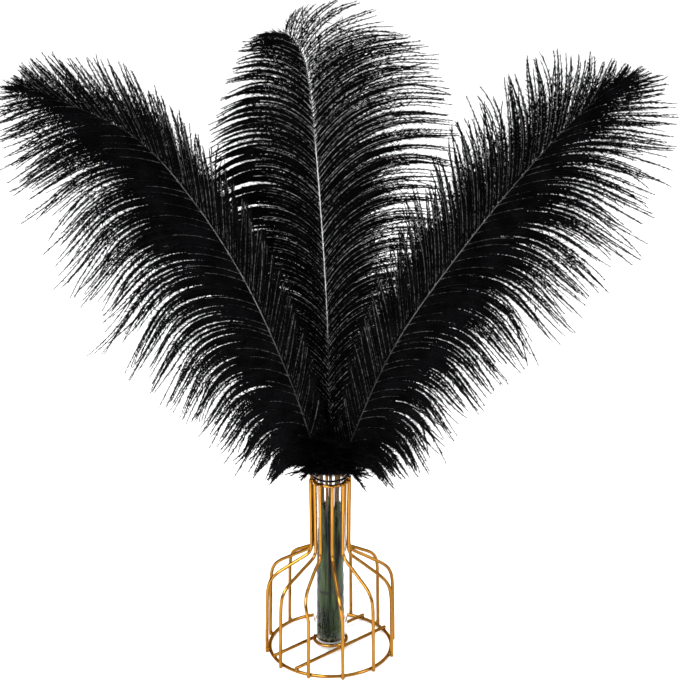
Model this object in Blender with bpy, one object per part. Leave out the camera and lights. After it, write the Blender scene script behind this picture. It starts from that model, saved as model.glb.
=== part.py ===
"""Three black ostrich feathers standing in a glass tube that a gold wire bottle holds.

Metres, +Z up, X across the picture, the front towards -Y, the floor at z = 0.
Lengths in the constants are millimetres and are scaled once, where the meshes are made.
"""
import math

import bpy
import numpy as np

MM = 0.001

# Wire bottle: twelve bent wires welded outside a foot ring and a neck ring.
WIRE_HALF = 1.6
WELD_GAP = 0.3
FOOT_RING_RADIUS = 60.0
NECK_RING_RADIUS = 15.4
NECK_RING_HEIGHT = 180.6
SEAT_RING_RADIUS = 15.8
BAR_DIRECTION_DEG = 42.0
BAR_OFFSET = 16.0
BAR_HALF_LENGTH = 59.5
WIRE_COUNT = 12
FIRST_WIRE_DEG = 11.0
SHOULDER_BOTTOM, SHOULDER_TOP = 60.0, 112.0
BENT_WIRES = {8: -11.0, 9: -5.0}
WIRE_PROFILE = [(63.6, 0.0), (63.1, 32.0), (62.4, 60.0), (61.8, 68.0), (60.2, 75.4), (56.6, 81.6),
                (50.8, 86.6), (42.8, 91.4), (33.8, 96.8), (26.0, 101.2), (21.5, 104.4),
                (19.2, 108.2), (18.4, 114.0), (18.6, 150.0), (19.0, 172.0), (19.0, 183.0)]

# Glass tube, outside from the middle of the foot up to the lip, then inside down again.
TUBE_OUTSIDE = [(9.5, 7.1), (12.3, 8.3), (13.4, 10.5), (15.2, 13.8), (16.1, 18.5), (16.5, 30.0),
                (16.4, 80.0), (15.7, 110.0), (14.6, 135.0), (13.3, 160.0), (12.9, 173.0),
                (13.3, 182.0), (14.6, 184.2), (17.2, 185.4), (18.8, 186.4)]
TUBE_INSIDE = [(18.4, 187.6), (15.4, 186.8), (12.9, 184.8), (11.6, 181.0), (11.3, 173.0),
               (11.8, 160.0), (13.0, 135.0), (14.1, 110.0), (14.8, 80.0), (14.9, 22.0),
               (14.2, 15.5), (13.0, 11.8), (12.0, 9.6), (10.8, 8.6)]

# Three stems wound in green florist's tape, each with a blind socket for a quill.
STEM_PLACES = {"left": (-6.9, -3.5), "center": (0.0, 7.0), "right": (6.9, -3.5)}
STEM_PROFILE = [(2.8, 9.2), (4.3, 11.8), (5.2, 15.5), (5.5, 22.0), (5.5, 60.0), (5.2, 100.0),
                (4.5, 130.0), (3.3, 150.0), (2.6, 159.5)]
SOCKET_RADIUS = 2.0
SOCKET_BOTTOM = 138.0
QUILL_BOTTOM = 138.4

# Feathers. A shaft is (x, y, z) points above its socket; barbs are described along the vane,
# from 0 at its foot to 1 at its tip, by (place, value) pairs. A barb turns from its root angle
# to its tip angle, both in degrees off the shaft, and has done so at the share "bent_by".
QUILL_RADIUS, SHAFT_TIP_RADIUS = 1.65, 0.5
LOCKS_PER_SIDE = 20
VANE_HALF_THICKNESS = 0.65
COLUMNS = (0.16, 0.34, 0.52, 0.70, 0.88)
SPLIT_COLUMN = 3

FEATHERS = {
    "left": {
        "shaft": [(-7.1, -3.9, 174), (-8.6, -4.6, 188), (-13.0, -6.3, 209), (-37, -12, 288),
                  (-75.5, -19, 384), (-123, -25, 466), (-170, -28.5, 519), (-238, -31, 551),
                  (-262, -32, 556)],
        "vane_foot": 0.115,
        "facing": (0, -1, -0.07),
        "left": {"length": [(0, 52), (0.08, 82), (0.2, 126), (0.35, 168), (0.5, 176), (0.62, 166),
                            (0.74, 140), (0.85, 102), (0.94, 60), (1, 18)],
                 "root": [(0, 58), (0.2, 44), (0.5, 40), (0.8, 30), (1, 10)],
                 "tip": [(0, 140), (0.15, 136), (0.35, 128), (0.5, 117), (0.62, 102), (0.72, 84),
                         (0.82, 64), (0.92, 42), (1, 14)],
                 "droop": [(0, 10), (0.5, 20), (1, 6)], "bent_by": 0.66},
        "right": {"length": [(0, 36), (0.15, 56), (0.4, 76), (0.6, 76), (0.75, 70), (0.88, 56),
                             (0.95, 34), (1, 12)],
                  "root": [(0, 30), (0.3, 32), (0.6, 30), (0.85, 34), (1, 12)],
                  "tip": [(0, 22), (0.3, 30), (0.6, 32), (0.8, 38), (0.92, 40), (1, 16)],
                  "droop": [(0, 3), (0.5, 8), (1, 5)], "bent_by": 1.0},
    },
    "center": {
        "shaft": [(0.3, 7.0, 174), (0.5, 6.9, 188), (0.3, 9.9, 228.8), (-2.2, 18.7, 326.2),
                  (-6.2, 25.9, 406.6), (-13.4, 34.7, 504), (-20.8, 40.4, 567),
                  (-30.7, 42.4, 588.9), (-40.0, 43.3, 597.0)],
        "vane_foot": 0.13,
        "facing": (0, -1, 0.09),
        "left": {"length": [(0, 52), (0.2, 90), (0.4, 108), (0.6, 112), (0.72, 106), (0.84, 84),
                            (0.93, 66), (0.97, 46), (1, 22)],
                 "root": [(0, 32), (0.4, 33), (0.8, 38), (0.93, 34), (1, 22)],
                 "tip": [(0, 80), (0.3, 108), (0.6, 124), (0.84, 120), (0.93, 106), (1, 70)],
                 "droop": [(0, 5), (0.5, 13), (1, 6)], "bent_by": 0.9},
        "right": {"length": [(0, 52), (0.2, 94), (0.4, 122), (0.6, 136), (0.73, 130), (0.83, 116),
                             (0.93, 90), (0.96, 66), (1, 14)],
                  "root": [(0, 32), (0.4, 33), (0.7, 40), (0.85, 44), (0.93, 48), (1, 38)],
                  "tip": [(0, 80), (0.3, 102), (0.6, 104), (0.73, 100), (0.85, 103), (0.93, 106),
                          (1, 80)],
                  "droop": [(0, 5), (0.5, 13), (1, 6)], "bent_by": 0.9},
    },
    "right": {
        "shaft": [(7.1, -3.9, 174), (9.0, -4.6, 188), (14.2, -6.4, 209), (44, -12, 288),
                  (70, -16, 341), (108.5, -20, 401), (158, -25, 470.5), (212, -30, 535),
                  (250, -33, 567)],
        "vane_foot": 0.115,
        "facing": (0, -1, -0.07),
        "left": {"length": [(0, 36), (0.15, 58), (0.4, 84), (0.6, 96), (0.75, 88), (0.88, 58),
                            (0.95, 34), (1, 14)],
                 "root": [(0, 30), (0.3, 34), (0.6, 34), (0.85, 28), (1, 12)],
                 "tip": [(0, 24), (0.3, 40), (0.6, 56), (0.75, 58), (0.88, 36), (1, 14)],
                 "droop": [(0, 3), (0.5, 8), (1, 5)], "bent_by": 1.0},
        "right": {"length": [(0, 52), (0.08, 80), (0.2, 110), (0.35, 134), (0.5, 152), (0.62, 154),
                             (0.74, 139), (0.85, 106), (0.94, 64), (1, 18)],
                  "root": [(0, 58), (0.2, 44), (0.5, 38), (0.8, 28), (1, 10)],
                  "tip": [(0, 136), (0.12, 132), (0.3, 120), (0.5, 106), (0.7, 82), (0.85, 56),
                          (1, 12)],
                  "droop": [(0, 10), (0.5, 20), (1, 6)], "bent_by": 0.66},
    },
}

MATERIALS = {
    "gold_wire": ((0.78, 0.48, 0.19, 1.0), 0.28, 1.0),
    "clear_glass": ((0.86, 0.89, 0.93, 1.0), 0.05, 0.0),
    "green_tape": ((0.06, 0.10, 0.06, 1.0), 0.7, 0.0),
    "black_feather": ((0.012, 0.012, 0.014, 1.0), 0.55, 0.0),
}


def make_materials():
    made = {}
    for name, (colour, roughness, metallic) in MATERIALS.items():
        material = bpy.data.materials.new(name)
        material.use_nodes = True
        shader = material.node_tree.nodes["Principled BSDF"]
        shader.inputs["Base Color"].default_value = colour
        shader.inputs["Roughness"].default_value = roughness
        shader.inputs["Metallic"].default_value = metallic
        made[name] = material
    return made


def add_piece(name, points, faces, material, smooth=True):
    mesh = bpy.data.meshes.new(name)
    mesh.from_pydata([tuple(float(c) * MM for c in p) for p in points], [], faces)
    mesh.materials.append(material)
    mesh.polygons.foreach_set("use_smooth", [smooth] * len(faces))
    mesh.update()
    piece = bpy.data.objects.new(name, mesh)
    bpy.context.scene.collection.objects.link(piece)
    return piece


def ring_section(centre, out, up, sides, half):
    """Points round a wire whose flats, not corners, face along out and up."""
    reach = half / math.cos(math.pi / sides)
    turns = [math.tau * (k + 0.5) / sides for k in range(sides)]
    return [centre + reach * (math.cos(a) * out + math.sin(a) * up) for a in turns]


def skin(sections, closed):
    """Faces between equal sections; an open run gets two flat ends."""
    sides, count = len(sections[0]), len(sections)
    faces = []
    for i in range(count if closed else count - 1):
        a, b = i * sides, (i + 1) % count * sides
        for k in range(sides):
            n = (k + 1) % sides
            faces.append((a + k, a + n, b + n, b + k))
    if not closed:
        faces.append(tuple(reversed(range(sides))))
        faces.append(tuple(range((count - 1) * sides, count * sides)))
    return [p for s in sections for p in s], faces


def hoop(radius, height, segments):
    """A flat ring of wire about the vertical axis."""
    sections = []
    for i in range(segments):
        turn = math.tau * i / segments
        out = np.array([math.cos(turn), math.sin(turn), 0.0])
        centre = radius * out + np.array([0.0, 0.0, height])
        sections.append(ring_section(centre, np.array([0.0, 0.0, 1.0]), out, 8, WIRE_HALF))
    return skin(sections, closed=True)


def cross_bar(offset):
    turn = math.radians(BAR_DIRECTION_DEG)
    along = np.array([math.cos(turn), math.sin(turn), 0.0])
    across = np.array([-math.sin(turn), math.cos(turn), 0.0])
    height = 3 * WIRE_HALF + WELD_GAP
    middle = offset * across + np.array([0.0, 0.0, height])
    ends = [middle + s * BAR_HALF_LENGTH * along for s in (-1, 1)]
    up = np.array([0.0, 0.0, 1.0])
    return skin([ring_section(e, across, up, 8, WIRE_HALF) for e in ends], closed=False)


def bent_wire(index):
    """One upright wire; two of them are nudged sideways at the neck."""
    foot = FIRST_WIRE_DEG + 360.0 / WIRE_COUNT * index
    nudge = BENT_WIRES.get(index, 0.0)
    centres, turns = [], []
    for radius, height in WIRE_PROFILE:
        share = (height - SHOULDER_BOTTOM) / (SHOULDER_TOP - SHOULDER_BOTTOM)
        turn = math.radians(foot + nudge * min(max(share, 0.0), 1.0))
        centres.append(np.array([radius * math.cos(turn), radius * math.sin(turn), height]))
        turns.append(turn)
    sections = []
    last = len(centres) - 1
    for i, (centre, turn) in enumerate(zip(centres, turns)):
        along = centres[min(i + 1, last)] - centres[max(i - 1, 0)]
        if i in (0, last):
            along = np.array([0.0, 0.0, 1.0])
        along = along / np.linalg.norm(along)
        side = np.array([-math.sin(turn), math.cos(turn), 0.0])
        side = side - along * side.dot(along)
        side = side / np.linalg.norm(side)
        sections.append(ring_section(centre, np.cross(side, along), side, 6, WIRE_HALF))
    return skin(sections, closed=False)


def turned(profile, segments, place=(0.0, 0.0)):
    """A closed turned body; the profile runs from the foot's middle round to the inside's middle."""
    points, faces = [], []
    for radius, height in profile:
        for k in range(segments):
            turn = math.tau * k / segments
            points.append((place[0] + radius * math.cos(turn),
                           place[1] + radius * math.sin(turn), height))
    for i in range(len(profile) - 1):
        a, b = i * segments, (i + 1) * segments
        for k in range(segments):
            n = (k + 1) % segments
            faces.append((a + k, a + n, b + n, b + k))
    last = (len(profile) - 1) * segments
    faces.append(tuple(reversed(range(segments))))
    faces.append(tuple(range(last, last + segments)))
    return points, faces


def flowing_line(points, count):
    """Evenly spaced points on a smooth line through the given ones."""
    given = np.array(points, float)
    padded = np.vstack([2 * given[0] - given[1], given, 2 * given[-1] - given[-2]])
    line = []
    for i in range(len(given) - 1):
        a, b, c, d = padded[i:i + 4]
        for t in np.linspace(0, 1, 24, endpoint=False):
            line.append(0.5 * (2 * b + (c - a) * t + (2 * a - 5 * b + 4 * c - d) * t * t
                               + (3 * b - a - 3 * c + d) * t ** 3))
    line = np.array(line + [given[-1]])
    run = np.concatenate([[0], np.cumsum(np.linalg.norm(np.diff(line, axis=0), axis=1))])
    even = np.linspace(0, run[-1], count)
    return np.stack([np.interp(even, run, line[:, k]) for k in range(3)], 1)


def value_at(pairs, place):
    return float(np.interp(place, [p for p, _ in pairs], [v for _, v in pairs]))


class Shaft:
    """The line of a feather's shaft and the directions across it."""

    def __init__(self, name, design):
        x, y = STEM_PLACES[name]
        start = [(x, y, QUILL_BOTTOM), (x, y, 160.0)]
        self.line = flowing_line(start + design["shaft"], 400)
        self.share = np.linspace(0, 1, 400)
        self.facing = np.array(design["facing"], float) / np.linalg.norm(design["facing"])
        self.foot = design["vane_foot"]

    def point(self, share):
        return np.array([np.interp(share, self.share, self.line[:, k]) for k in range(3)])

    def axes(self, share):
        along = self.point(min(share + 0.01, 1)) - self.point(max(share - 0.01, 0))
        along = along / np.linalg.norm(along)
        right = np.cross(along, self.facing)
        right = right / np.linalg.norm(right)
        return along, right, np.cross(right, along)

    def vane(self, place):
        """Share of the whole shaft at a place along the vane."""
        return self.foot + (1 - self.foot) * place


def barb(shaft, habit, sign, place, longer, ends):
    """Points on one barb at the given shares of its length."""
    share = shaft.vane(place)
    along, right, _ = shaft.axes(share)
    length = value_at(habit["length"], place) * longer
    root = math.radians(value_at(habit["root"], place))
    tip = math.radians(value_at(habit["tip"], place))
    steps = np.linspace(0, 1, 25)
    mid = (steps[1:] + steps[:-1]) / 2
    bend = np.clip(mid / habit["bent_by"], 0, 1)
    bend = 0.5 * bend + 0.5 * bend * bend * (3 - 2 * bend)
    angle = root + (tip - root) * bend
    move = np.cos(angle)[:, None] * along + sign * np.sin(angle)[:, None] * right
    path = np.vstack([np.zeros(3), np.cumsum(move * length / 24, axis=0)])
    path = path - shaft.facing * (value_at(habit["droop"], place) * steps ** 2)[:, None]
    path = path + shaft.point(share)
    return [np.array([np.interp(e, steps, path[:, k]) for k in range(3)]) for e in ends]


def feather(name, design):
    """One closed body: a six-sided shaft with twenty flat locks of barbs fused to each side."""
    shaft = Shaft(name, design)
    points, faces = [], []

    def put(p):
        points.append(p)
        return len(points) - 1

    def quad(a, b, c, d, flip):
        for tri in ((a, b, c), (a, c, d)):
            if len(set(tri)) == 3:
                faces.append(tri[::-1] if flip else tri)

    shares = [0, 0.35 * shaft.foot, 0.65 * shaft.foot, 0.85 * shaft.foot]
    first = len(shares)
    shares += [shaft.vane(i / LOCKS_PER_SIDE) for i in range(LOCKS_PER_SIDE + 1)]
    rings = []
    for share in shares:
        _, right, face = shaft.axes(share)
        wear = max(share - shaft.foot, 0) / (1 - shaft.foot)
        radius = QUILL_RADIUS + (SHAFT_TIP_RADIUS - QUILL_RADIUS) * wear
        centre = shaft.point(share)
        rings.append([put(centre + radius * (math.cos(a) * right + math.sin(a) * face))
                      for a in (math.tau * (k + 0.5) / 6 for k in range(6))])
    for i in range(len(rings) - 1):
        for k in range(6):
            if i >= first and k in (2, 5):
                continue
            n = (k + 1) % 6
            quad(rings[i][k], rings[i][n], rings[i + 1][n], rings[i + 1][k], True)
    faces.append(tuple(rings[0]))
    faces.append(tuple(reversed(rings[-1])))

    for side, sign in (("left", -1), ("right", 1)):
        habit = design[side]
        top_corner, low_corner = (0, 5) if sign > 0 else (2, 3)
        lift = [shaft.facing * VANE_HALF_THICKNESS * (1 - 0.55 * c) for c in COLUMNS]
        edges = []
        for i in range(LOCKS_PER_SIDE + 1):
            path = barb(shaft, habit, sign, i / LOCKS_PER_SIDE, 0.93, COLUMNS)
            ring = rings[first + i]
            shared = [(ring[top_corner], ring[low_corner])]
            shared += [(put(p + h), put(p - h))
                       for p, h in zip(path[:SPLIT_COLUMN], lift[:SPLIT_COLUMN])]
            edges.append((path, shared))
        flip = sign < 0
        for i in range(LOCKS_PER_SIDE):
            longer = 1.03 + 0.07 * math.sin(2.4 * i + 1.1 * sign)
            own = barb(shaft, habit, sign, (i + 0.5) / LOCKS_PER_SIDE, longer, COLUMNS + (1.0,))
            rails = []
            for path, shared in (edges[i], edges[i + 1]):
                rail = list(shared)
                for j in range(SPLIT_COLUMN, len(COLUMNS)):
                    close = (j - SPLIT_COLUMN + 1) / (len(COLUMNS) - SPLIT_COLUMN + 1)
                    p = path[j] + (own[j] - path[j]) * close
                    rail.append((put(p + lift[j]), put(p - lift[j])))
                rails.append(rail)
            tip = put(own[-1])
            low, high = rails
            low.append((tip, tip))
            high.append((tip, tip))
            for j in range(len(low) - 1):
                quad(low[j][0], low[j + 1][0], high[j + 1][0], high[j][0], flip)
                quad(high[j][1], high[j + 1][1], low[j + 1][1], low[j][1], flip)
                if j >= SPLIT_COLUMN or i == 0:
                    quad(low[j][1], low[j + 1][1], low[j + 1][0], low[j][0], flip)
                if j >= SPLIT_COLUMN or i == LOCKS_PER_SIDE - 1:
                    quad(high[j][0], high[j + 1][0], high[j + 1][1], high[j][1], flip)
    return points, faces


def centre_on_floor(pieces):
    """Move everything so the outer box is centred over the origin."""
    spots = np.array([v.co for piece in pieces for v in piece.data.vertices])
    shift = -(spots.min(axis=0) + spots.max(axis=0)) / 2
    for piece in pieces:
        for vertex in piece.data.vertices:
            vertex.co.x += shift[0]
            vertex.co.y += shift[1]


def main():
    for old in list(bpy.data.objects):
        bpy.data.objects.remove(old, do_unlink=True)
    slots = make_materials()
    gold, glass = slots["gold_wire"], slots["clear_glass"]
    tape, black = slots["green_tape"], slots["black_feather"]
    seat_height = 5 * WIRE_HALF + 2 * WELD_GAP
    made = [add_piece("base_ring", *hoop(FOOT_RING_RADIUS, WIRE_HALF, 40), gold),
            add_piece("neck_ring", *hoop(NECK_RING_RADIUS, NECK_RING_HEIGHT, 20), gold),
            add_piece("tube_seat_ring", *hoop(SEAT_RING_RADIUS, seat_height, 20), gold),
            add_piece("cross_bar_front", *cross_bar(-BAR_OFFSET), gold),
            add_piece("cross_bar_back", *cross_bar(BAR_OFFSET), gold),
            add_piece("glass_tube", *turned(TUBE_OUTSIDE + TUBE_INSIDE, 20), glass)]
    for i in range(WIRE_COUNT):
        made.append(add_piece(f"wire_{i + 1:02d}", *bent_wire(i), gold))
    for name, place in STEM_PLACES.items():
        socket = [(SOCKET_RADIUS, STEM_PROFILE[-1][1]), (SOCKET_RADIUS, SOCKET_BOTTOM)]
        made.append(add_piece(f"stem_{name}", *turned(STEM_PROFILE + socket, 10, place), tape))
    for name, design in FEATHERS.items():
        made.append(add_piece(f"feather_{name}", *feather(name, design), black))
    centre_on_floor(made)


main()
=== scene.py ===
# %% [markdown]
# # Ostrich plumes in a gold wire bottle
# Three black ostrich plumes stand in a slim glass tube, and a bottle of bent gold wire holds the
# tube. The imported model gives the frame: every piece here sits where that model says, and stands
# for one of its nodes. Lengths are millimetres, as a maker would write them, except in the floor,
# the lamps and the finishes, which are in Blender's metres.

# %% Load the frame
import math

import bpy
import numpy as np
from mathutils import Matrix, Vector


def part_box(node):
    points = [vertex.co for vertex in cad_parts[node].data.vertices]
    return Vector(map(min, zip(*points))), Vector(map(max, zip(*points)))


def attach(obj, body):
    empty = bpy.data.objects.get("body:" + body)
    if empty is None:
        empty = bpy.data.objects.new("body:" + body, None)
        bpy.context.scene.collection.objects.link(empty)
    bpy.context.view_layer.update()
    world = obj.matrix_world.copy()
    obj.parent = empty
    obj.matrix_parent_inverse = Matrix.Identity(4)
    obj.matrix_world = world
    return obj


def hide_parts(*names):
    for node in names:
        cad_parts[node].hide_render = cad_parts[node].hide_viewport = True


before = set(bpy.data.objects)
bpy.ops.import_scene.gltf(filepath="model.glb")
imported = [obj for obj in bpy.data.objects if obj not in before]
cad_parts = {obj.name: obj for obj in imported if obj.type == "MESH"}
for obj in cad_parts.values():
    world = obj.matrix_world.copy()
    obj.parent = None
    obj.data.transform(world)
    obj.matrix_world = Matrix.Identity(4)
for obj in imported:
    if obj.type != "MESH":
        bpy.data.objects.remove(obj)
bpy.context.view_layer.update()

MM = 0.001
scene = bpy.context.scene
ring_low, ring_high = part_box("base_ring")
AXIS_X = (ring_low[0] + ring_high[0]) / 2 / MM
print("the bottle's axis stands at x =", round(AXIS_X, 2), "mm; nodes:", len(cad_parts))

# %% [markdown]
# ## Camera
# The picture looks down on the piece by about twenty degrees from a metre and a half away. The
# long lens keeps the wires nearly parallel. The place was worked out from the ellipses of the two
# rings: how flat they look gives the tilt, and how their widths compare gives the distance.

# %% Camera
CAMERA_BACK, CAMERA_HEIGHT, CAMERA_ASIDE = 1374.4, 819.1, 8.95
CAMERA_TILT_DEG = 19.92
LENS, SENSOR_WIDTH = 83.6, 36.0
FARTHEST_SEEN = 100.0

lens = bpy.data.cameras.new("camera")
lens.lens = LENS
lens.sensor_width = SENSOR_WIDTH
lens.clip_end = FARTHEST_SEEN
camera = bpy.data.objects.new("camera", lens)
camera.location = ((AXIS_X + CAMERA_ASIDE) * MM, -CAMERA_BACK * MM, CAMERA_HEIGHT * MM)
camera.rotation_euler = (math.radians(90 - CAMERA_TILT_DEG), 0, 0)
scene.collection.objects.link(camera)
scene.camera = camera
print("camera looks down by", CAMERA_TILT_DEG, "degrees")

# %% [markdown]
# ## Finishes as nodes
# Every finish is a small node tree: noise that follows the piece, a ramp that turns the noise into
# colour, a range that turns it into roughness, and a bump for fine relief. Painted pictures would
# do as well, but noise needs no unwrapping and has no seams.

# %% Node helpers
def node_material(name):
    """A new node material, its node tree and its main shader."""
    material = bpy.data.materials.new(name)
    material.use_nodes = True
    tree = material.node_tree
    return material, tree, tree.nodes["Principled BSDF"]


def noise_node(tree, scale, detail=2.0):
    noise = tree.nodes.new("ShaderNodeTexNoise")
    noise.inputs["Scale"].default_value = scale
    noise.inputs["Detail"].default_value = detail
    return noise


def ramp_node(tree, places, colours):
    """A colour ramp with two stops."""
    ramp = tree.nodes.new("ShaderNodeValToRGB")
    for stop, place, colour in zip(ramp.color_ramp.elements, places, colours):
        stop.position = place
        stop.color = (*colour, 1)
    return ramp


def range_node(tree, low, high):
    """Stretches a value between 0 and 1 to the range from low to high."""
    spread = tree.nodes.new("ShaderNodeMapRange")
    spread.inputs["To Min"].default_value = low
    spread.inputs["To Max"].default_value = high
    return spread


def bump_node(tree, strength, distance):
    bump = tree.nodes.new("ShaderNodeBump")
    bump.inputs["Strength"].default_value = strength
    bump.inputs["Distance"].default_value = distance
    return bump


def join_sockets(tree, *pairs):
    for source, target in pairs:
        tree.links.new(source, target)


print("node helpers ready")

# %% [markdown]
# ## Floor and light
# The piece was photographed on white. A wide pale floor catches almost no shadow if most of the
# light comes from all round, so the sky is bright overhead and a little darker towards the
# horizon, which gives a round gold wire its dark edges. Three soft panels add the streaks on the
# glass and the silky barbs, and a small low one makes a bright pool on the floor in front of the
# picture, which the upright wires mirror as a streak.

# %% Floor
FLOOR_HALF = 30.0
FLOOR_PAINT = (0.93, 0.93, 0.93, 1)
FLOOR_GLOW = 0.26

corners = [(-FLOOR_HALF, -FLOOR_HALF, 0), (FLOOR_HALF, -FLOOR_HALF, 0),
           (FLOOR_HALF, FLOOR_HALF, 0), (-FLOOR_HALF, FLOOR_HALF, 0)]
floor_mesh = bpy.data.meshes.new("floor")
floor_mesh.from_pydata(corners, [], [(0, 1, 2, 3)])
floor = bpy.data.objects.new("floor", floor_mesh)
scene.collection.objects.link(floor)
floor_paint, _, shader = node_material("floor_paint")
shader.inputs["Base Color"].default_value = FLOOR_PAINT
shader.inputs["Roughness"].default_value = 0.9
shader.inputs["Specular IOR Level"].default_value = 0.0
shader.inputs["Emission Color"].default_value = (1, 1, 1, 1)
shader.inputs["Emission Strength"].default_value = FLOOR_GLOW
floor_mesh.materials.append(floor_paint)
print("floor of", 2 * FLOOR_HALF, "m a side")

# %% Sky
HORIZON, OVERHEAD = (0.32, 0.32, 0.34), (1.0, 1.0, 1.0)
OVERHEAD_FROM = 0.6
SKY_STRENGTH = 0.95

scene.view_settings.view_transform = "Standard"
world = bpy.data.worlds.new("studio")
scene.world = world
world.use_nodes = True
sky = world.node_tree
toward = sky.nodes.new("ShaderNodeTexCoord")
split = sky.nodes.new("ShaderNodeSeparateXYZ")
band = ramp_node(sky, (0.0, OVERHEAD_FROM), (HORIZON, OVERHEAD))
backdrop = sky.nodes["Background"]
join_sockets(sky, (toward.outputs["Generated"], split.inputs[0]),
             (split.outputs["Z"], band.inputs["Fac"]),
             (band.outputs["Color"], backdrop.inputs["Color"]))
backdrop.inputs["Strength"].default_value = SKY_STRENGTH
print("sky goes from", HORIZON, "at the horizon to", OVERHEAD, "overhead")

# %% Soft panels
# Each panel: place, point it faces, width and height, power in watts.
PANELS = {"panel_left": ((-1.6, -1.4, 1.5), (0, 0, 0.35), (0.9, 1.4), 26),
          "panel_right": ((1.7, -0.9, 1.2), (0, 0, 0.35), (0.6, 1.4), 16),
          "panel_top": ((0.0, 0.3, 2.4), (0, 0, 0.3), (1.6, 1.2), 24),
          "panel_low": ((-0.16, -0.46, 0.30), (-0.16, -0.461, 0), (0.16, 0.5), 4)}

for name, (place, aim, size, power) in PANELS.items():
    light = bpy.data.lights.new(name, "AREA")
    light.shape = "RECTANGLE"
    light.size, light.size_y = size
    light.energy = power
    lamp = bpy.data.objects.new(name, light)
    lamp.location = place
    to_x, to_y, to_z = np.array(aim) - np.array(place)
    lamp.rotation_euler = (math.atan2(math.hypot(to_x, to_y), -to_z), 0,
                           math.atan2(to_y, to_x) - math.pi / 2)
    scene.collection.objects.link(lamp)
print(len(PANELS), "soft panels are up")

# %% [markdown]
# ## From arrays to pieces
# A piece here is a list of points and a list of faces, worked out in arrays and handed to a mesh
# in one go. Curves with a bevel would do for the wires, but not for many thousand tiny blades, so
# one way serves for all. Each piece is tied to the root, and the node that it stands for is hidden.

# %% Place a piece
def place_piece(name, points, faces, materials, node, smooth=True):
    """Make a mesh object from points in millimetres, tie it to the root and hide the node it stands
    for.
    """
    counts = np.array([len(face) for face in faces])
    corners = np.concatenate(faces).astype(np.int32)
    mesh = bpy.data.meshes.new(name)
    mesh.vertices.add(len(points))
    mesh.vertices.foreach_set("co", (np.asarray(points, float) * MM).ravel())
    mesh.loops.add(len(corners))
    mesh.loops.foreach_set("vertex_index", corners)
    mesh.polygons.add(len(counts))
    mesh.polygons.foreach_set("loop_start", (np.cumsum(counts) - counts).astype(np.int32))
    mesh.polygons.foreach_set("use_smooth", np.full(len(counts), smooth))
    for material in materials:
        mesh.materials.append(material)
    mesh.update(calc_edges=True)
    mesh.validate()
    piece = bpy.data.objects.new(name, mesh)
    scene.collection.objects.link(piece)
    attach(piece, "root")
    if node:
        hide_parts(node)
    return piece


print("pieces can be placed")

# %% [markdown]
# ## A section carried along a line
# Wires, shafts and rings are all a round section carried along a line. A maker would mark a few
# points of the line on a drawing. A curve that only comes near them would miss the measured
# places, so this one runs through every point.

# %% Smooth lines
SPAN_STEPS = 24


def unit(vectors):
    vectors = np.asarray(vectors, float)
    return vectors / np.linalg.norm(vectors, axis=-1, keepdims=True)


def flowing_line(points, count):
    """Evenly spaced points on a smooth line through the given ones."""
    given = np.array(points, float)
    padded = np.vstack([2 * given[0] - given[1], given, 2 * given[-1] - given[-2]])
    line = []
    for i in range(len(given) - 1):
        a, b, c, d = padded[i:i + 4]
        for t in np.linspace(0, 1, SPAN_STEPS, endpoint=False):
            line.append(0.5 * (2 * b + (c - a) * t + (2 * a - 5 * b + 4 * c - d) * t * t
                               + (3 * b - a - 3 * c + d) * t ** 3))
    line = np.array(line + [given[-1]])
    run = np.concatenate([[0], np.cumsum(np.linalg.norm(np.diff(line, axis=0), axis=1))])
    even = np.linspace(0, run[-1], count)
    return np.stack([np.interp(even, run, line[:, k]) for k in range(line.shape[1])], 1)


print("smooth lines take", SPAN_STEPS, "steps between two given points")


# %% Carried sections
def skin_faces(rows, sides, closed=False):
    """Faces over rows of points; an open skin gets a cap at each end."""
    faces = []
    for i in range(rows if closed else rows - 1):
        a, b = i * sides, (i + 1) % rows * sides
        for k in range(sides):
            n = (k + 1) % sides
            faces.append((a + k, a + n, b + n, b + k))
    if not closed:
        faces.append(tuple(reversed(range(sides))))
        faces.append(tuple(range((rows - 1) * sides, rows * sides)))
    return faces


def carried_section(line, side, radii, sides, closed=False):
    """Points and faces of a round section carried along a line; side is a rough sideways."""
    line = np.asarray(line, float)
    if closed:
        along = unit(np.roll(line, -1, 0) - np.roll(line, 1, 0))
    else:
        along = unit(np.gradient(line, axis=0))
    side = np.broadcast_to(side, line.shape)
    side = unit(side - along * np.sum(side * along, axis=1, keepdims=True))
    out = np.cross(side, along)
    turn = math.tau * np.arange(sides) / sides
    radii = np.broadcast_to(radii, len(line))
    ring = (np.cos(turn)[None, :, None] * out[:, None, :]
            + np.sin(turn)[None, :, None] * side[:, None, :])
    points = (line[:, None, :] + radii[:, None, None] * ring).reshape(-1, 3)
    return points, skin_faces(len(line), sides, closed)


print("a section of 16 sides over 3 rows has", len(skin_faces(3, 16)), "faces")

# %% [markdown]
# ## Gold wire finish
# The holder is iron wire with a thin, shiny gold plating, and nearly all its look is what it
# mirrors. Slow noise shifts the colour between yellow and orange gold, and a finer one moves the
# roughness, as plating over drawn wire never lies quite even. The specular tint is the colour of a
# metal at a grazing angle: a brown one darkens the edges, which one plain gold would leave bright.

# %% Gold wire finish
ORANGE_GOLD, YELLOW_GOLD = (0.24, 0.107, 0.015), (0.35, 0.170, 0.028)
GRAZING_BROWN = (0.30, 0.15, 0.06, 1)

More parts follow.
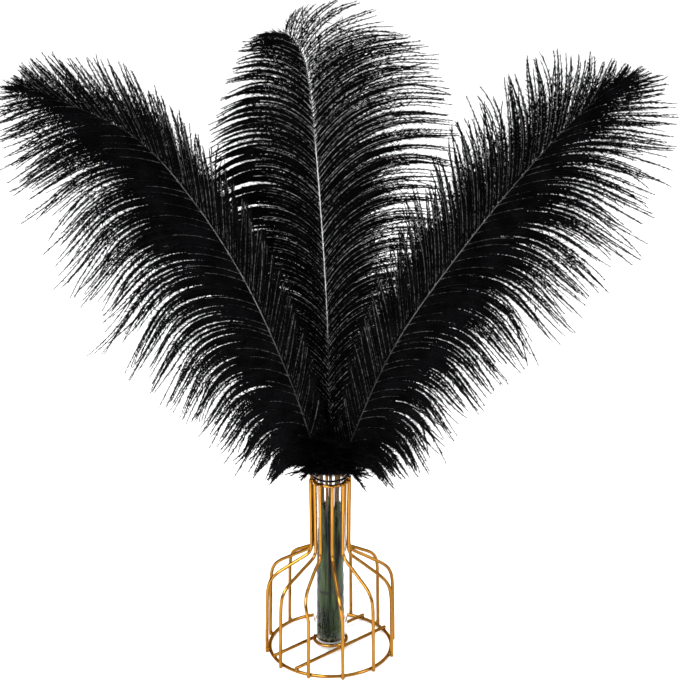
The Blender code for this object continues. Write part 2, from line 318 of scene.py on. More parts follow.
gold, tree, shader = node_material("gold_plating")
where = tree.nodes.new("ShaderNodeTexCoord")
cloud = noise_node(tree, 22, 3)
tint = ramp_node(tree, (0.35, 0.7), (ORANGE_GOLD, YELLOW_GOLD))
drawn = noise_node(tree, 420)
polish = range_node(tree, 0.07, 0.17)
ripple = bump_node(tree, 0.12, 0.0004)
join_sockets(tree, (where.outputs["Object"], cloud.inputs["Vector"]),
             (where.outputs["Object"], drawn.inputs["Vector"]),
             (cloud.outputs["Fac"], tint.inputs["Fac"]),
             (tint.outputs["Color"], shader.inputs["Base Color"]),
             (drawn.outputs["Fac"], polish.inputs["Value"]),
             (polish.outputs["Result"], shader.inputs["Roughness"]),
             (drawn.outputs["Fac"], ripple.inputs["Height"]),
             (ripple.outputs["Normal"], shader.inputs["Normal"]))
shader.inputs["Metallic"].default_value = 1.0
shader.inputs["Specular Tint"].default_value = GRAZING_BROWN
print("gold finish has", len(tree.nodes), "nodes")

# %% [markdown]
# ## Upright wires
# Each upright is one rod: straight up from the floor, bent in over the shoulder and up again along
# the neck. A maker bends it over a jig, so the curve is smooth with no kinks. The line runs through
# a few (radius, height) points, and a round section is carried along it. Two wires at the front
# sit a little to one side at the neck, as on the real one.

# %% Upright wires
WIRE_RADIUS, WIRE_SIDES, WIRE_ROWS = 1.65, 16, 90
WIRE_COUNT = 12
WIRE_STEP_DEG, FIRST_WIRE_DEG = 360 / WIRE_COUNT, 11.0
SHOULDER_BOTTOM, SHOULDER_TOP = 60.0, 112.0
BENT_WIRES = {8: -11.0, 9: -5.0}
FOOT_ROUNDING, TOP_ROUNDING = 0.78, 0.7
WIRE_PROFILE = [(63.6, 0.4), (63.4, 16), (63, 32), (62.7, 48), (62.4, 60), (61.8, 68),
                (60.2, 75.4), (56.6, 81.6), (50.8, 86.6), (42.8, 91.4), (33.8, 96.8), (26, 101.2),
                (21.5, 104.4), (19.2, 108.2), (18.4, 114), (18.5, 132), (18.6, 150), (19, 172),
                (19, 183)]

radius, height = flowing_line(WIRE_PROFILE, WIRE_ROWS).T
radius, height = np.append(radius[0], radius), np.append(0.0, height)
bent_share = np.clip((height - SHOULDER_BOTTOM) / (SHOULDER_TOP - SHOULDER_BOTTOM), 0, 1)
radii = np.full(len(height), WIRE_RADIUS)
radii[0], radii[-1] = FOOT_ROUNDING * WIRE_RADIUS, TOP_ROUNDING * WIRE_RADIUS
for i in range(WIRE_COUNT):
    nudge = BENT_WIRES.get(i, 0.0) * bent_share
    turn = np.radians(FIRST_WIRE_DEG + WIRE_STEP_DEG * i + nudge)
    line = np.stack([AXIS_X + radius * np.cos(turn), radius * np.sin(turn), height], 1)
    side = np.stack([-np.sin(turn), np.cos(turn), 0 * turn], 1)
    points, faces = carried_section(line, side, radii, WIRE_SIDES)
    name = f"wire_{i + 1:02d}"
    place_piece("gold_" + name, points, faces, [gold], name)
print(WIRE_COUNT, "upright wires of", len(points), "points each")

# %% [markdown]
# ## Rings and cross bars
# The lower ring, the neck ring and the seat under the tube are hoops of the same wire, butted and
# welded. Two straight lengths lie over the lower ring and carry the seat. They are the same
# section carried round a circle or along a straight line.

# %% Rings
HOOP_WIRE_RADIUS = 1.6
FOOT_RING_RADIUS = 60.0
# Each ring: piece, node, radius, height and number of steps.
RINGS = (("gold_foot_ring", "base_ring", FOOT_RING_RADIUS, 1.6, 144),
         ("gold_neck_ring", "neck_ring", 15.4, 180.6, 72),
         ("gold_seat_ring", "tube_seat_ring", 15.8, 8.6, 72))

for name, node, radius, height, count in RINGS:
    turn = math.tau * np.arange(count) / count
    line = np.stack([AXIS_X + radius * np.cos(turn), radius * np.sin(turn),
                     np.full(count, height)], 1)
    points, faces = carried_section(line, (0, 0, 1), HOOP_WIRE_RADIUS, WIRE_SIDES, closed=True)
    place_piece(name, points, faces, [gold], node)
print(len(RINGS), "rings made")

# %% Cross bars
BAR_DIRECTION_DEG, BAR_OFFSET = 42.0, 16.0
BAR_HALF_LENGTH, BAR_HEIGHT = 59.5, 5.1
# Places along a bar as a share of half its length, and the share of its radius there.
BAR_TAPER = [(-1, 0.6), (-0.995, 0.88), (-0.98, 1), (-0.5, 1), (0, 1), (0.5, 1), (0.98, 1),
             (0.995, 0.88), (1, 0.6)]

bar_turn = math.radians(BAR_DIRECTION_DEG)
bar_along = np.array([math.cos(bar_turn), math.sin(bar_turn), 0])
bar_across = np.array([-math.sin(bar_turn), math.cos(bar_turn), 0])
bar_steps, bar_taper = np.array(BAR_TAPER).T
bar_middles = []
for end, offset in (("front", -BAR_OFFSET), ("back", BAR_OFFSET)):
    middle = np.array([AXIS_X, 0, BAR_HEIGHT]) + offset * bar_across
    line = middle + bar_steps[:, None] * BAR_HALF_LENGTH * bar_along
    points, faces = carried_section(line, bar_across, bar_taper * HOOP_WIRE_RADIUS, WIRE_SIDES)
    place_piece(f"gold_bar_{end}", points, faces, [gold], f"cross_bar_{end}")
    bar_middles.append(middle)
print(len(bar_middles), "cross bars of", 2 * BAR_HALF_LENGTH, "mm")

# %% [markdown]
# ## Weld beads
# Where two wires meet, a spot weld leaves a small rounded lump under the plating. Melting the
# wires into one mesh would make the same lump with much more work, so each bead is a squashed ball
# over the hairline between two wires. Its size varies a little, as each one is made by hand.

# %% Places of the weld beads
# Each weld of an upright: distance from the axis, height and size of the bead.
FOOT_WELD, NECK_WELD = (61.8, 2.3, (1.5, 1.5, 1.7)), (17.2, 180.8, (1.4, 1.4, 1.8))
# Each weld of a bar: distance from its middle, rise and size of the bead.
BAR_REACH = math.sqrt(FOOT_RING_RADIUS ** 2 - BAR_OFFSET ** 2)
BAR_WELDS = (BAR_REACH, -1.7, (1.9, 1.9, 1.1)), (4.0, 1.75, (1.5, 1.5, 0.9))

spots = []
for i in range(WIRE_COUNT):
    foot_turn = FIRST_WIRE_DEG + WIRE_STEP_DEG * i
    for turn, (radius, height, size) in ((foot_turn, FOOT_WELD),
                                         (foot_turn + BENT_WIRES.get(i, 0.0), NECK_WELD)):
        turn = math.radians(turn)
        spots.append(((AXIS_X + radius * math.cos(turn), radius * math.sin(turn), height), size))
for middle in bar_middles:
    for sign in (-1, 1):
        for reach, rise, size in BAR_WELDS:
            spots.append((middle + sign * reach * bar_along + np.array([0, 0, rise]), size))
print(len(spots), "places to weld")

# %% Weld beads
BEAD_ROWS, BEAD_SIDES = 7, 10
BEAD_POLE = 0.12
BEAD_WOBBLE = 0.10
BEAD_SMALLEST, BEAD_LARGEST = 0.85, 1.15
bead_rng = np.random.default_rng(5)


def bead(centre, radii):
    """Points and faces of one squashed ball."""
    lean = np.linspace(BEAD_POLE, math.pi - BEAD_POLE, BEAD_ROWS)
    turn = math.tau * np.arange(BEAD_SIDES) / BEAD_SIDES
    wobble = 1 + BEAD_WOBBLE * bead_rng.standard_normal((BEAD_ROWS, BEAD_SIDES))
    ball = np.stack([np.sin(lean)[:, None] * np.cos(turn) * wobble,
                     np.sin(lean)[:, None] * np.sin(turn) * wobble,
                     np.cos(lean)[:, None] * np.ones(BEAD_SIDES)], -1)
    points = np.asarray(centre) + ball.reshape(-1, 3) * radii
    faces = []
    for i in range(BEAD_ROWS - 1):
        a, b = i * BEAD_SIDES, (i + 1) * BEAD_SIDES
        for k in range(BEAD_SIDES):
            n = (k + 1) % BEAD_SIDES
            faces.append((a + k, b + k, b + n, a + n))
    faces.append(tuple(range(BEAD_SIDES)))
    faces.append(tuple(reversed(range((BEAD_ROWS - 1) * BEAD_SIDES, BEAD_ROWS * BEAD_SIDES))))
    return points, faces


bead_points, bead_faces = [], []
for number, (centre, radii) in enumerate(spots):
    points, faces = bead(centre, np.array(radii) * bead_rng.uniform(BEAD_SMALLEST, BEAD_LARGEST))
    bead_points.append(points)
    bead_faces += [tuple(number * len(points) + k for k in face) for face in faces]
place_piece("weld_beads", np.vstack(bead_points), bead_faces, [gold], None)
print(len(spots), "weld beads of", BEAD_ROWS * BEAD_SIDES, "points")

# %% [markdown]
# ## Glass tube
# One piece of blown tube: a thick round foot, straight sides, a throat and a lip that flares over
# the neck ring. A solid rod would bend the stems out of shape, so the wall has an inside and an
# outside, as in glass. The absorption of grey lavender makes its long edges dark and cool and
# leaves the thin wall clear.

# %% Glass finish
GLASS_CLEAR = (0.97, 0.975, 1.0, 1)
GLASS_GLINT = (0.06, 0.06, 0.07, 1)
GLASS_SOAK, SOAK_DENSITY = (0.72, 0.74, 0.88, 1), 40

glass, tree, shader = node_material("clear_glass")
shader.inputs["Base Color"].default_value = GLASS_CLEAR
shader.inputs["Transmission Weight"].default_value = 1.0
shader.inputs["IOR"].default_value = 1.47
shader.inputs["Specular Tint"].default_value = GLASS_GLINT
haze = noise_node(tree, 60)
clean = range_node(tree, 0.0, 0.04)
soak = tree.nodes.new("ShaderNodeVolumeAbsorption")
soak.inputs["Color"].default_value = GLASS_SOAK
soak.inputs["Density"].default_value = SOAK_DENSITY
join_sockets(tree, (haze.outputs["Fac"], clean.inputs["Value"]),
             (clean.outputs["Result"], shader.inputs["Roughness"]),
             (soak.outputs["Volume"], tree.nodes["Material Output"].inputs["Volume"]))
print("glass finish has", len(tree.nodes), "nodes")


# %% Turned bodies
def turned_body(profile, segments, centre, relief=None):
    """A closed turned body from (radius, height) pairs; relief(turn, height) adds to the radius."""
    profile = np.asarray(profile, float)
    turn = math.tau * np.arange(segments) / segments
    radius = profile[:, :1] + (relief(turn[None, :], profile[:, 1:]) if relief else 0 * turn)
    points = np.stack([centre[0] + radius * np.cos(turn), centre[1] + radius * np.sin(turn),
                       np.broadcast_to(profile[:, 1:], radius.shape)], -1).reshape(-1, 3)
    return points, skin_faces(len(profile), segments)


print("bodies can be turned")

# %% Glass tube
TUBE_SIDES, OUTSIDE_ROWS, INSIDE_ROWS = 72, 110, 90
TUBE_OUTSIDE = [(2, 7.1), (6, 7.1), (9.5, 7.1), (12.3, 8.3), (13.4, 10.5), (15.2, 13.8),
                (16.1, 18.5), (16.5, 30), (16.4, 80), (15.7, 110), (14.6, 135), (13.3, 160),
                (12.9, 173), (13.3, 182), (14.6, 184.2), (17.2, 185.4), (18.8, 186.4)]
TUBE_INSIDE = [(18.4, 187.6), (15.4, 186.8), (12.9, 184.8), (11.6, 181), (11.3, 173), (11.8, 160),
               (13, 135), (14.1, 110), (14.8, 80), (14.9, 22), (14.2, 15.5), (13, 11.8), (12, 9.6),
               (10.8, 8.6), (6, 8.4), (2, 8.4)]

wall = np.vstack([flowing_line(TUBE_OUTSIDE, OUTSIDE_ROWS), flowing_line(TUBE_INSIDE, INSIDE_ROWS)])
points, faces = turned_body(wall, TUBE_SIDES, (AXIS_X, 0))
place_piece("glass_tube_blown", points, faces, [glass], "glass_tube")
print("glass tube with", len(points), "points")

# %% [markdown]
# ## Taped stems
# Each quill is pushed into a stem that is wound with green florist's tape. The tape climbs in a
# slanting turn that laps over the last one. Bump would fake the steps, but not on the outline, so
# they are real relief: a saw-tooth of the height plus the turn round the stem. The ends of the
# tape are folded under into a flat wad, so the tube looks dark right to its foot. At one height a
# dark slanting line is painted along the laps as painted shadow of a gap, which the relief does
# not have.

# %% Tape finishes
TAPE_DARK, TAPE_GREEN = (0.001, 0.003, 0.001), (0.08, 0.125, 0.045)
# colour of the painted shadow along one lap
LAP_PAINTED_SHADOW = (0.002, 0.003, 0.002, 1)
STREAK_STRETCH = (1, 1, 0.07)

tape, tree, shader = node_material("florist_tape")
where = tree.nodes.new("ShaderNodeTexCoord")
stretch = tree.nodes.new("ShaderNodeMapping")
stretch.inputs["Scale"].default_value = STREAK_STRETCH
streaks = noise_node(tree, 300, 5)
streaks.inputs["Roughness"].default_value = 0.65
tint = ramp_node(tree, (0.44, 0.60), (TAPE_DARK, TAPE_GREEN))
crease = bump_node(tree, 0.5, 0.0006)
join_sockets(tree, (where.outputs["Object"], stretch.inputs["Vector"]),
             (stretch.outputs["Vector"], streaks.inputs["Vector"]),
             (streaks.outputs["Fac"], tint.inputs["Fac"]),
             (tint.outputs["Color"], shader.inputs["Base Color"]),
             (streaks.outputs["Fac"], crease.inputs["Height"]),
             (crease.outputs["Normal"], shader.inputs["Normal"]))
shader.inputs["Roughness"].default_value = 0.45
shader.inputs["Specular IOR Level"].default_value = 0.05

# painted shadow: a near-black finish on the faces along one lap, where the relief has no gap
painted_lap_shadow, _, shader = node_material("tape_lap_shadow")
shader.inputs["Base Color"].default_value = LAP_PAINTED_SHADOW
shader.inputs["Roughness"].default_value = 0.8
print("tape finish has", len(tree.nodes), "nodes, and the shadow under a lap has its own")

# %% Relief of the tape
TAPE_RISE, TAPE_STEP = 13.0, 0.42
PLEAT_DEPTH, PLEATS, PLEAT_SLANT = 0.07, 5, 0.21
RELIEF_BOTTOM, RELIEF_TOP, RELIEF_FADE = 12.0, 159.4, 6.0


def lap_at(height, turn_share, phase):
    """How far up its lap the tape is at a point, from 0 at the lower edge to 1 at the next."""
    return (height / TAPE_RISE + turn_share + phase) % 1.0


def tape_relief(phase):
    def relief(turn, height):
        lap = lap_at(height, turn / math.tau, phase)
        pleat = PLEAT_DEPTH * np.sin(PLEATS * turn + PLEAT_SLANT * height + 9 * phase)
        fade_in = np.clip((height - RELIEF_BOTTOM) / RELIEF_FADE, 0, 1)
        fade_out = np.clip(RELIEF_TOP - height, 0, 1)
        return fade_in * fade_out * (TAPE_STEP * (lap - 0.5) + pleat)
    return relief


print("the tape climbs", TAPE_RISE, "mm a turn in steps of", TAPE_STEP, "mm")

# %% Taped stems
STEM_PLACES = {"left": (-6.9, -3.5), "center": (0.0, 7.0), "right": (6.9, -3.5)}
STEM_PROFILE = [(3.9, 9.5), (5, 11.8), (5.9, 15.5), (6, 22), (6, 60), (5.6, 100), (4.6, 130),
                (3.4, 150), (2.6, 159.5)]
STEM_SIDES, STEM_ROWS = 36, 150
SOCKET = [(2.0, 159.5), (2.0, 138.0)]
FIRST_PHASE, PHASE_STEP = 0.48, 0.06
# height and share of a lap where the painted shadow line lies
SHADOW_LINE_BOTTOM, SHADOW_LINE_WIDTH = 56.0, 0.26

stem_radius, stem_height = np.array(STEM_PROFILE).T
heights = np.linspace(stem_height[0], stem_height[-1], STEM_ROWS)
profile = np.stack([np.interp(heights, stem_height, stem_radius), heights], 1)
profile = np.vstack([profile, SOCKET])
face_height, face_turn = np.meshgrid(profile[:-1, 1], np.arange(STEM_SIDES) / STEM_SIDES,
                                     indexing="ij")
near_painted_shadow = (face_height > SHADOW_LINE_BOTTOM) & (face_height < SHADOW_LINE_BOTTOM + TAPE_RISE)
for number, (name, (x, y)) in enumerate(STEM_PLACES.items()):
    phase = FIRST_PHASE + PHASE_STEP * number
    points, faces = turned_body(profile, STEM_SIDES, (AXIS_X + x, y), tape_relief(phase))
    stem = place_piece(f"taped_stem_{name}", points, faces, [tape, painted_lap_shadow], f"stem_{name}")
    # faces that take the painted shadow
    painted_shadow_faces = near_painted_shadow & (lap_at(face_height, face_turn, phase) < SHADOW_LINE_WIDTH)
    caps = [False, False]
    stem.data.polygons.foreach_set("material_index",
                                   np.append(painted_shadow_faces.ravel(), caps).astype(np.int32))
    print(stem.name, "has", int(painted_shadow_faces.sum()), "faces in the shadow of a lap")

# %% Wad of tape
WAD_PROFILE = [(0.5, 8.8), (10, 8.9), (11.6, 9.9), (12.3, 11.6), (11.6, 13.2), (8, 13.9),
               (0.5, 13.9)]
WAD_SIDES = 48

points, faces = turned_body(WAD_PROFILE, WAD_SIDES, (AXIS_X, 0))
place_piece("tape_wad", points, faces, [tape], None)
print("the wad under the stems is", WAD_PROFILE[-1][1] - WAD_PROFILE[0][1], "mm thick")

# %% [markdown]
# ## How a plume grows
# A plume is a shaft with two rows of barbs. Each barb leaves the shaft at a steep angle, then
# bends over and hangs, and carries two rows of loose barbules that never hook together, which is
# why an ostrich plume is fluffy. Drawing every barb by hand would take days, so a table says, from
# the vane's foot (0) to its tip (1), how long the barbs are and at what angle from the shaft they
# start and end. The two halves of a plume differ: an outer half has long barbs and is loose at its
# edge, an inner one is short and dense and has more threads with painted highlight.

# %% Habits of the barbs
# Along the vane, "droop" is how far the barbs hang to the back. "bent_by" is the share of a barb by
# which it has bent over, "curl" and "stray" are how many degrees the ends scatter, and "shortest"
# is how short a barb may be beside its neighbours. "web" is the web's half width, "highlight_span"
# the part of a barb that may get painted highlight, and "highlight_share" how many barbs do.
OUTER = {"droop": [(0, 10), (0.5, 20), (1, 6)], "bent_by": 0.66, "curl": 8, "stray": 7,
         "shortest": 0.7, "web": 1.15, "highlight_span": (0.0, 0.3), "highlight_share": 0.15}
INNER = {"droop": [(0, 3), (0.5, 8), (1, 5)], "bent_by": 1.0, "curl": 14, "stray": 5,
         "shortest": 0.8, "web": 1.0, "highlight_span": (0.1, 0.85), "highlight_share": 0.6}
MIDDLE = {"droop": [(0, 5), (0.5, 13), (1, 6)], "bent_by": 0.9, "curl": 10, "stray": 5,
          "shortest": 0.82, "highlight_share": 0.5}
print("outer barbs have bent over by", OUTER["bent_by"], "of their length")

# %% Left plume
PLUMES = {}
PLUMES["left"] = {
    "shaft": [(-7.1, -3.9, 174), (-8.6, -4.6, 188), (-13.0, -6.3, 209), (-37, -12, 288),
              (-75.5, -19, 384), (-123, -25, 466), (-170, -28.5, 520), (-236, -31, 554),
              (-261, -32, 563)],
    "vane_foot": 0.115, "facing": (0, -1, -0.07),
    "left": {
        **OUTER, "barbs": 290, "barbules": 90000, "seed": 139, "web_until": 0.41,
        "length": [(0, 62), (0.08, 92), (0.2, 130), (0.35, 168), (0.5, 176), (0.62, 166),
                   (0.74, 140), (0.85, 102), (0.94, 60), (1, 18)],
        "root": [(0, 58), (0.2, 44), (0.5, 40), (0.8, 30), (1, 8)],
        "tip": [(0, 140), (0.15, 136), (0.35, 128), (0.5, 117), (0.62, 102), (0.72, 84),
                (0.82, 64), (0.92, 42), (1, 10)]},
    "right": {
        **INNER, "barbs": 200, "barbules": 50000, "seed": 141, "web_until": 0.5,
        "length": [(0, 36), (0.15, 56), (0.4, 80), (0.6, 82), (0.75, 80), (0.88, 62), (0.95, 34),
                   (1, 12)],
        "root": [(0, 30), (0.3, 32), (0.6, 27), (0.85, 26), (1, 10)],
        "tip": [(0, 22), (0.3, 28), (0.6, 22), (0.8, 20), (0.92, 22), (1, 12)]}}
print("left plume ends at", PLUMES["left"]["shaft"][-1], "from the bottle's axis")

# %% Middle plume
PLUMES["center"] = {
    "shaft": [(0.3, 7.0, 174), (0.5, 6.9, 188), (0.3, 9.9, 228.8), (-2.2, 18.7, 326.2),
              (-6.2, 25.9, 406.6), (-13.4, 34.7, 504), (-20.8, 40.4, 567), (-30.7, 42.4, 588.9),
              (-40.0, 43.3, 597.0)],
    "vane_foot": 0.13, "facing": (0, -1, 0.09),
    "left": {
        **MIDDLE, "barbs": 205, "barbules": 94000, "seed": 159, "web_until": 0.78,
        "web": 1.2, "highlight_span": (0.0, 0.6),
        "length": [(0, 52), (0.2, 90), (0.4, 110), (0.6, 119), (0.72, 112), (0.84, 84), (0.93, 58),
                   (0.97, 42), (1, 24)],
        "root": [(0, 32), (0.4, 33), (0.8, 38), (0.93, 34), (1, 22)],
        "tip": [(0, 80), (0.3, 108), (0.6, 122), (0.84, 108), (0.93, 84), (1, 50)]},
    "right": {
        **MIDDLE, "barbs": 215, "barbules": 66000, "seed": 161, "web_until": 0.5,
        "web": 1.1, "highlight_span": (0.0, 0.66),
        "length": [(0, 52), (0.2, 94), (0.4, 122), (0.6, 142), (0.73, 140), (0.83, 124),
                   (0.93, 84), (0.96, 60), (1, 14)],
        "root": [(0, 32), (0.4, 33), (0.7, 40), (0.85, 46), (0.93, 58), (1, 54)],
        "tip": [(0, 80), (0.3, 102), (0.6, 104), (0.73, 99), (0.85, 100), (0.93, 106), (1, 86)]}}
print("middle plume ends at", PLUMES["center"]["shaft"][-1])

# %% Right plume
PLUMES["right"] = {
    "shaft": [(7.1, -3.9, 174), (9.0, -4.6, 188), (14.2, -6.4, 209), (44, -12, 288),
              (70, -16, 341), (108.5, -20, 401), (158, -25, 470.5), (212, -30, 536),
              (249, -33, 569)],
    "vane_foot": 0.115, "facing": (0, -1, -0.07),
    "left": {
        **INNER, "barbs": 205, "barbules": 55000, "seed": 149, "web_until": 0.5,
        "length": [(0, 36), (0.15, 66), (0.4, 98), (0.6, 104), (0.75, 96), (0.88, 60), (0.95, 34),
                   (1, 14)],
        "root": [(0, 30), (0.3, 34), (0.6, 34), (0.85, 28), (1, 10)],
        "tip": [(0, 24), (0.3, 40), (0.6, 56), (0.75, 58), (0.88, 36), (1, 8)]},
    "right": {
        **OUTER, "barbs": 290, "barbules": 95000, "seed": 151, "web_until": 0.43,
        "length": [(0, 62), (0.08, 90), (0.2, 114), (0.35, 134), (0.5, 152), (0.62, 154),
                   (0.74, 139), (0.85, 106), (0.94, 64), (1, 18)],
        "root": [(0, 58), (0.2, 44), (0.5, 38), (0.8, 28), (1, 8)],
        "tip": [(0, 136), (0.12, 132), (0.3, 120), (0.5, 106), (0.7, 82), (0.85, 56), (1, 8)]}}
print("right plume ends at", PLUMES["right"]["shaft"][-1])

# %% Lines of the shafts
QUILL_RADIUS = 1.65
QUILL_BOTTOM, QUILL_STRAIGHT_TO = 138.4, 160.0
SHAFT_STEPS = 400
NEARBY = 0.01


class Shaft:
    """The line of one plume's shaft and the directions across it."""

    def __init__(self, name):
        design = PLUMES[name]
        x, y = STEM_PLACES[name]
        quill = [(x, y, QUILL_BOTTOM), (x, y, QUILL_STRAIGHT_TO)]
        self.line = flowing_line(quill + design["shaft"], SHAFT_STEPS) + np.array([AXIS_X, 0, 0])
        self.share = np.linspace(0, 1, SHAFT_STEPS)
        self.facing = unit(design["facing"])
        self.foot = design["vane_foot"]

    def point(self, share):
        return np.stack([np.interp(share, self.share, self.line[:, k]) for k in range(3)], -1)

    def axes(self, share):
        """Directions along the shaft and to its right."""
        along = unit(self.point(np.minimum(share + NEARBY, 1))
                     - self.point(np.maximum(share - NEARBY, 0)))
        return along, unit(np.cross(along, self.facing))


shafts = {name: Shaft(name) for name in PLUMES}
for name, shaft in shafts.items():
    run = np.linalg.norm(np.diff(shaft.line, axis=0), axis=1).sum()
    print(name, "shaft and quill are", round(run), "mm long")

# %% [markdown]
# ## Quill and shaft
# The quill in the tube is brownish grey horn. Above it the shaft thins out to a pale line between
# the black barbs. That pale stretch is partly the horn's own colour and partly painted highlight,
# painted strongest on the middle plume, which faces the light. Quill and shaft are one tapered
# section with a colour that follows the height, so no seam shows between them.

# %% Horn finish
HORN_LOW, HORN_HIGH = 170, 600
QUILL_BROWN, TIP_GREY = (0.10, 0.072, 0.048), (0.05, 0.05, 0.052)


def horn_material(name, bright):
    """Horn that turns from brown-grey quill to a paler shaft, with painted highlight, and to a dark
    end.
    """
    horn, tree, shader = node_material(name)
    where = tree.nodes.new("ShaderNodeTexCoord")
    split = tree.nodes.new("ShaderNodeSeparateXYZ")
    climb = tree.nodes.new("ShaderNodeMapRange")
    climb.inputs["From Min"].default_value = HORN_LOW * MM
    climb.inputs["From Max"].default_value = HORN_HIGH * MM
    shade = ramp_node(tree, (0.0, 1.0), (QUILL_BROWN, TIP_GREY))
    # the stretch at the level bright is partly the horn's own pale colour and partly painted
    # highlight
    for place, level in ((0.10, 0.015), (0.32, 0.03), (0.44, bright), (0.74, bright),
                         (0.80, 0.04)):
        stop = shade.color_ramp.elements.new(place)
        stop.color = (level, level, level, 1)
    fibres = noise_node(tree, 300)
    lines = bump_node(tree, 0.25, 0.0003)
    join_sockets(tree, (where.outputs["Object"], split.inputs[0]),
                 (split.outputs["Z"], climb.inputs["Value"]),
                 (climb.outputs["Result"], shade.inputs["Fac"]),
                 (shade.outputs["Color"], shader.inputs["Base Color"]),
                 (where.outputs["Object"], fibres.inputs["Vector"]),
                 (fibres.outputs["Fac"], lines.inputs["Height"]),
                 (lines.outputs["Normal"], shader.inputs["Normal"]))
    shader.inputs["Roughness"].default_value = 0.35
    shader.inputs["Specular IOR Level"].default_value = 0.2
    return horn


print("horn changes colour between", HORN_LOW, "and", HORN_HIGH, "mm above the floor")

# %% Quills and shafts
# how pale each shaft is painted: partly its own pale horn, partly painted highlight, strongest on
# the middle plume, which faces the light
SHAFT_PALE_AND_HIGHLIGHT = {"left": 0.2, "center": 1.0, "right": 0.16}
SHAFT_RADIUS = [(0, QUILL_RADIUS), (0.03, 0.85), (0.2, 0.55), (0.6, 0.45), (1, 0.3)]
SHAFT_ROWS, SHAFT_SIDES = 160, 10


def along_vane(pairs, places):
    """Read a table of (place, value) pairs at other places."""
    return np.interp(places, [place for place, _ in pairs], [value for _, value in pairs])


for name, shaft in shafts.items():
    share = np.linspace(0, 1, SHAFT_ROWS)
    _, right = shaft.axes(share)
    radii = along_vane(SHAFT_RADIUS, np.clip((share - shaft.foot) / (1 - shaft.foot), 0, 1))
    points, faces = carried_section(shaft.point(share), right, radii, SHAFT_SIDES)
    horn = horn_material(f"horn_{name}", SHAFT_PALE_AND_HIGHLIGHT[name])
    place_piece(f"plume_{name}_shaft", points, faces, [horn], f"feather_{name}")
print(len(shafts), "shafts, from", QUILL_RADIUS, "down to", SHAFT_RADIUS[-1][1], "mm in radius")

# %% [markdown]
# ## Black barb finishes and painted highlights
# Dyed plumes are deep black, but every barb is a smooth round thread that catches a silvery line
# of light, while the barbules beside it stay dark. A black with a strong sheen would turn the
# whole plume grey. So the thread and the barbules get separate finishes: the lit threads are
# glossy, with the line of light painted into their colour as a broken grey, a painted highlight
# strongest on the middle plume. The barbules are almost black and nearly matt.

# %% Barb finishes
# painted highlight: the grey of the lit threads, strongest on the middle plume, which faces the
# light
THREAD_PAINTED_HIGHLIGHT = {"left": 0.15, "center": 0.6, "right": 0.15}
THREAD_DARK = (0.003, 0.003, 0.003)
PATCH_STOPS = (0.4, 0.62)


def plume_black(name, dark, light, rough, gloss, patch):
    black, tree, shader = node_material(name)
    where = tree.nodes.new("ShaderNodeTexCoord")
    patches = noise_node(tree, patch, 4)
    shade = ramp_node(tree, PATCH_STOPS, (dark, light))
    spread = range_node(tree, *rough)
    join_sockets(tree, (where.outputs["Object"], patches.inputs["Vector"]),
                 (patches.outputs["Fac"], shade.inputs["Fac"]),
                 (shade.outputs["Color"], shader.inputs["Base Color"]),
                 (patches.outputs["Fac"], spread.inputs["Value"]),
                 (spread.outputs["Result"], shader.inputs["Roughness"]))
    shader.inputs["Specular IOR Level"].default_value = gloss
    return black


barbule_black = plume_black("barbule_black", (0.0008, 0.0008, 0.001), (0.003, 0.003, 0.0035),
                            rough=(0.45, 0.65), gloss=0.02, patch=55)
# the lit threads get painted highlight as a broken grey; barbule_black is the dye's own black
thread_painted_highlight = {name: plume_black(f"barb_thread_{name}", THREAD_DARK, (light, light, light),
                                   rough=(0.25, 0.45), gloss=0.3, patch=330)
                 for name, light in THREAD_PAINTED_HIGHLIGHT.items()}
print("one black and", len(thread_painted_highlight), "silvery finishes")

# %% [markdown]
# ## Barbs as lines
# A barb first runs out from the shaft and then bends over, the lower ones so far that they hang.
# Each is a chain of short straight bits, whose angle goes from the root's to the tip's. Hair
# curves could do this too, but chains come out as plain mesh, the same each time from a seeded
# draw. Real barbs cling together at their ends, so neighbours are drawn into small locks, then
# larger ones, and pale gaps open between them. One barb in ten strays more than twice as far. At
# the tube's lip the barbs stand clear of the glass.

# %% Clear space at the lip
LIP_REACH, LIP_HEIGHT = 21.0, 190.0
ARCH_RISE, SLOPE_OUTSIDE = 0.36, 1.4


def clear_of_lip(path):
    """Barbs near the tube's lip stay above it; in front they arch up and leave it open."""
    aside = np.maximum(np.abs(path[..., 0] - AXIS_X) - LIP_REACH, 0)
    behind = np.maximum(path[..., 1] - LIP_REACH, 0)
    before = np.maximum(-path[..., 1], 0)
    lowest = LIP_HEIGHT + ARCH_RISE * before - SLOPE_OUTSIDE * (aside + behind)
    path[..., 2] = np.maximum(path[..., 2], lowest)
    return path


print("barbs stay above", LIP_HEIGHT, "mm within", LIP_REACH, "mm of the bottle's axis")

# %% One barb after another
BARB_STEPS = 15
barb_share = np.linspace(0, 1, BARB_STEPS)
barb_mid = (barb_share[1:] + barb_share[:-1]) / 2


def stepped_barbs(along, aside, angle, length):
    """Chains that start at nought; each bit turns by its angle from along to aside."""
    move = (np.cos(angle)[..., None] * along[:, None, :]
            + np.sin(angle)[..., None] * aside[:, None, :])
    move = move * (length / (BARB_STEPS - 1))[:, None, None]
    return np.concatenate([np.zeros((len(length), 1, 3)), np.cumsum(move, axis=1)], axis=1)


print("a barb has", BARB_STEPS, "points")

# %% Barbs of a vane
SPACING_LOW, SPACING_HIGH = 0.25, 0.75
# Slow waves of the tips' angle along the vane: degrees, and how often they repeat.
WAVES, WAVE_START = ((1.2, 23.0), (0.7, 51.0), (0.5, 97.0)), 6.28
LONGEST = 1.08
ROOT_SCATTER_DEG, DEPTH_SCATTER, LIFT_SCATTER = 0.5, 8.0, 1.8
WILD_SHARE, WILD_TIMES = 0.1, 2.4
STRAY_POWER, CURL_POWER = 2.2, 5


